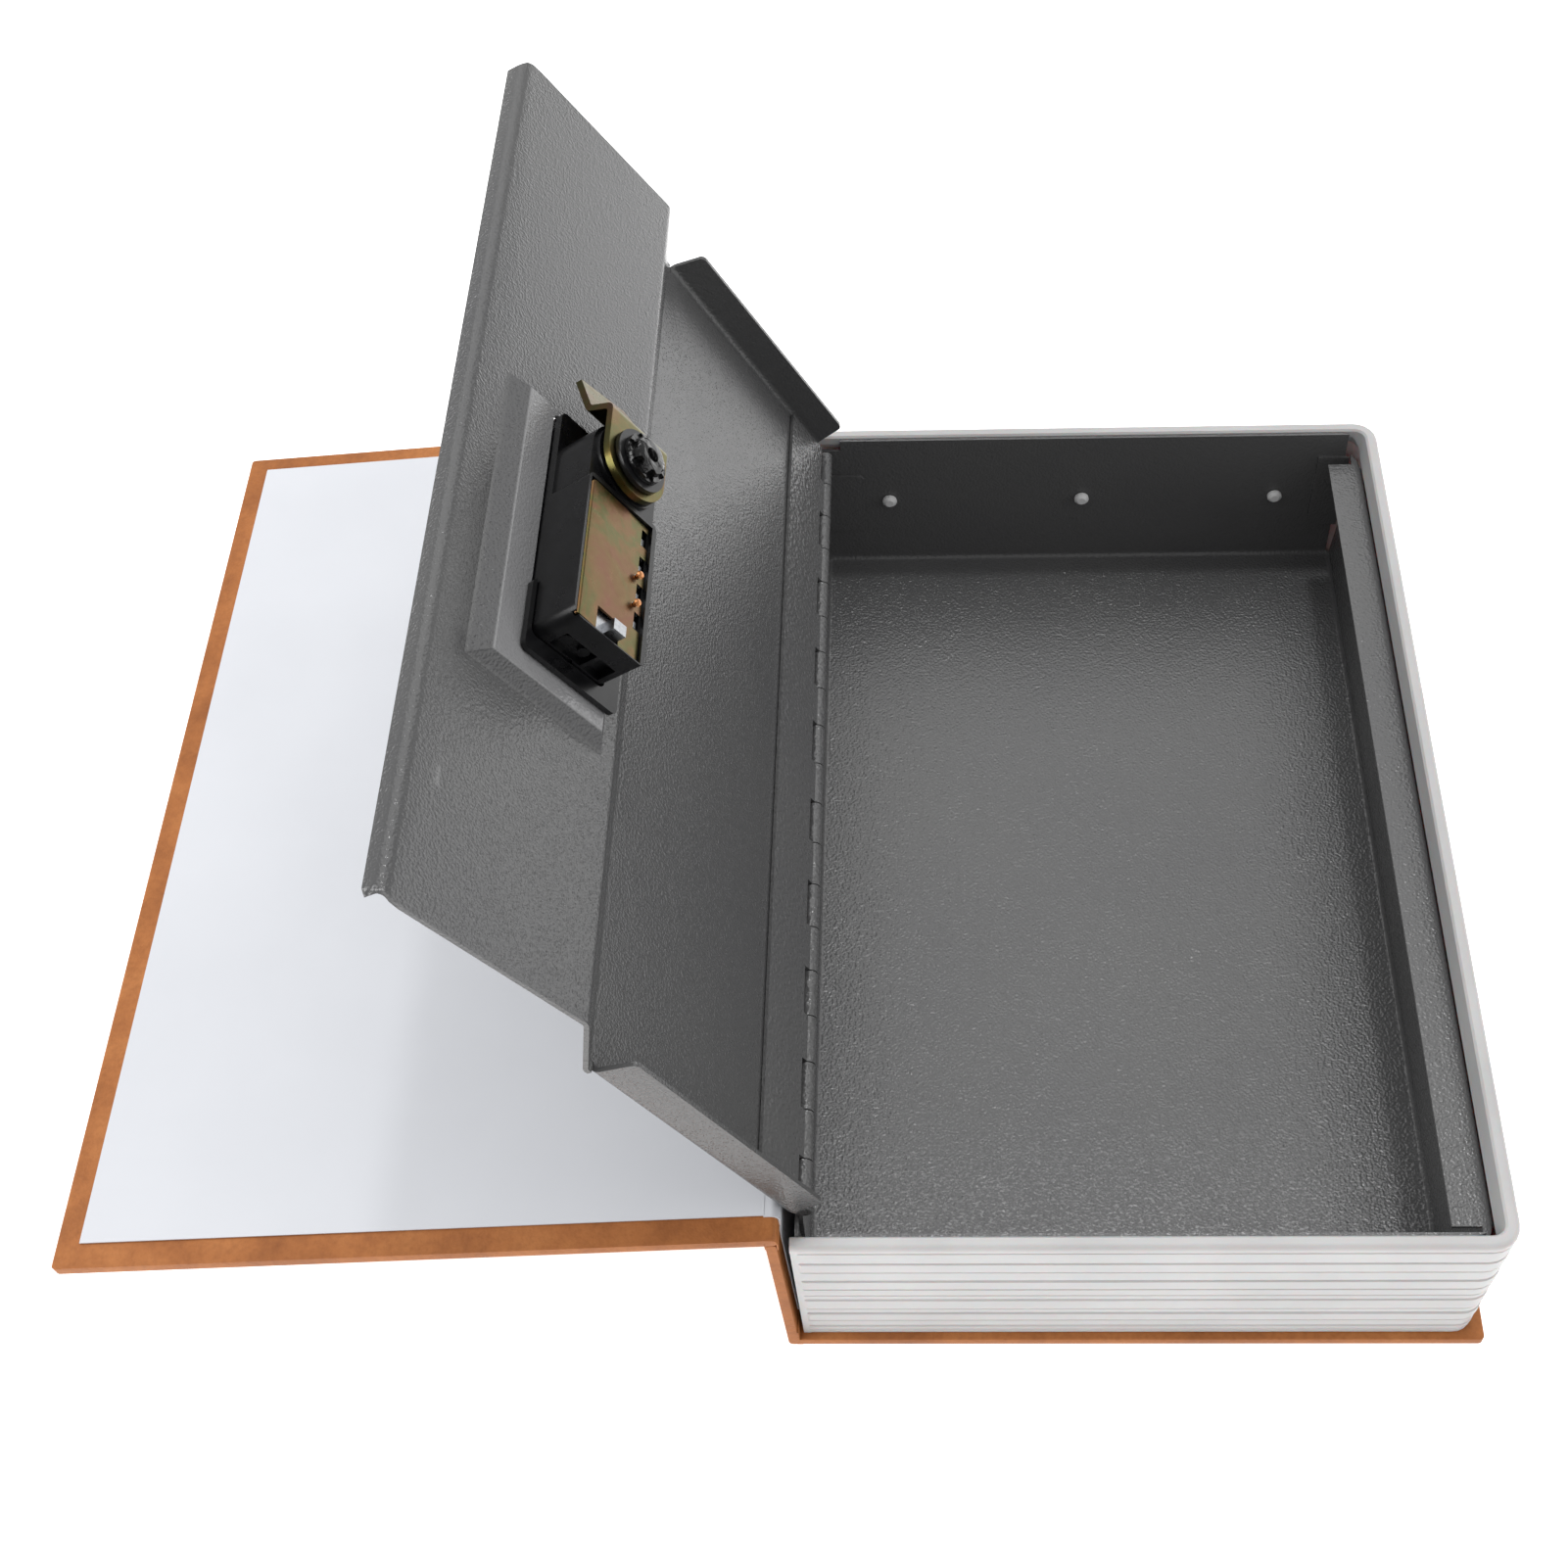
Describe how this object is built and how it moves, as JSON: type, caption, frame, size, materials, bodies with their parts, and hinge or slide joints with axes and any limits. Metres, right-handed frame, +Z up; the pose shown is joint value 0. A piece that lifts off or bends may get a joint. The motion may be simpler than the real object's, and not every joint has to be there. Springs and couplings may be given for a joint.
{
  "type": "book diversion safe",
  "caption": "Cash box hidden in a hardback book: covered boards, a moulded page block, a folded steel tray and a piano-hinged steel lid with a number-wheel lock and cam.",
  "frame": {"origin": "centre of the back board's underside, where the closed or open book lies on a table", "axes": "+X from the spine to the fore edge, +Y from the tail of the book to its head, +Z up"},
  "size_m": [0.3108, 0.24, 0.1745],
  "materials": {
    "leatherette": "brown leather-grained covering over greyboard, matt",
    "paper": "smooth off-white paper, matt",
    "page_plastic": "white moulded plastic, soft gloss",
    "grey_paint": "grey textured powder coat, semi-gloss",
    "pin_steel": "steel pin coated with the leaves",
    "black_plastic": "black moulded plastic, satin",
    "yellow_zinc": "steel with iridescent yellow zinc plating",
    "silver_metal": "bright plated steel",
    "copper": "copper-coloured rivet",
    "wheel_plastic": "pale moulded plastic"
  },
  "bodies": {
    "case": {"back_board": "leatherette", "page_frame": "page_plastic", "tray": "grey_paint", "frame_stud_tail_1": "page_plastic", "frame_stud_tail_2": "page_plastic", "frame_stud_tail_3": "page_plastic", "frame_stud_head_1": "page_plastic", "frame_stud_head_2": "page_plastic", "frame_stud_head_3": "page_plastic", "tray_hinge_leaf": "grey_paint", "hinge_pin": "pin_steel"},
    "spine": {"spine_board": "leatherette", "spine_endpaper": "paper"},
    "front_cover": {"front_board": "leatherette", "front_endpaper": "paper"},
    "lid": {"lid_panel": "grey_paint", "lid_hinge_leaf": "grey_paint", "lock_bezel": "black_plastic", "lock_housing": "black_plastic", "lock_clip": "black_plastic", "lock_cover_plate": "yellow_zinc", "cover_plate_rivet_1": "copper", "cover_plate_rivet_2": "copper", "wheel_spindle": "silver_metal", "detent_spring": "silver_metal"},
    "cam_knob": {"knob": "black_plastic", "cam": "yellow_zinc", "cam_washer": "black_plastic", "cam_screw": "black_plastic"},
    "wheel_1": {"number_wheel_1": "wheel_plastic", "code_ring_1": "silver_metal"},
    "wheel_2": {"number_wheel_2": "wheel_plastic", "code_ring_2": "silver_metal"},
    "wheel_3": {"number_wheel_3": "wheel_plastic", "code_ring_3": "silver_metal"},
    "reset_slider": {"reset_lever": "silver_metal"}
  },
  "joints": [
    {"name": "cover_crease", "type": "hinge", "parent": "spine", "child": "front_cover", "pos_m": [-0.07998, 0, 0.05416], "axis": [0, 1, 0], "range_deg": [0, 182.8]},
    {"name": "spine_crease", "type": "hinge", "parent": "case", "child": "spine", "pos_m": [-0.07795, 0, 0.0013], "axis": [0, 1, 0], "range_deg": [0, 2.2]},
    {"name": "lid_hinge", "type": "hinge", "parent": "case", "child": "lid", "pos_m": [-0.0738, 0, 0.0496], "axis": [0, 1, 0], "range_deg": [0, 118.58]},
    {"name": "knob_turn", "type": "hinge", "parent": "lid", "child": "cam_knob", "pos_m": [-0.1189, 0.0005, 0.1493], "axis": [0.8336, 0, 0.5523], "range_deg": [0, 90]},
    {"name": "wheel_1_turn", "type": "hinge", "parent": "lid", "child": "wheel_1", "pos_m": [-0.11598, 0, 0.15123], "axis": [0, 1, 0], "continuous": true},
    {"name": "wheel_2_turn", "type": "hinge", "parent": "lid", "child": "wheel_2", "pos_m": [-0.11598, 0, 0.15123], "axis": [0, 1, 0], "continuous": true},
    {"name": "wheel_3_turn", "type": "hinge", "parent": "lid", "child": "wheel_3", "pos_m": [-0.11598, 0, 0.15123], "axis": [0, 1, 0], "continuous": true},
    {"name": "reset_slide", "type": "slide", "parent": "lid", "child": "reset_slider", "axis": [-0.5523, 0, 0.8336], "range_m": [0, 0.0026]}
  ],
  "couplings": [
    {"joint": "spine_crease", "follows": "cover_crease", "ratio": 0.012035},
    {"joint": "lid_hinge", "follows": "cover_crease", "ratio": 0.64869}
  ]
}
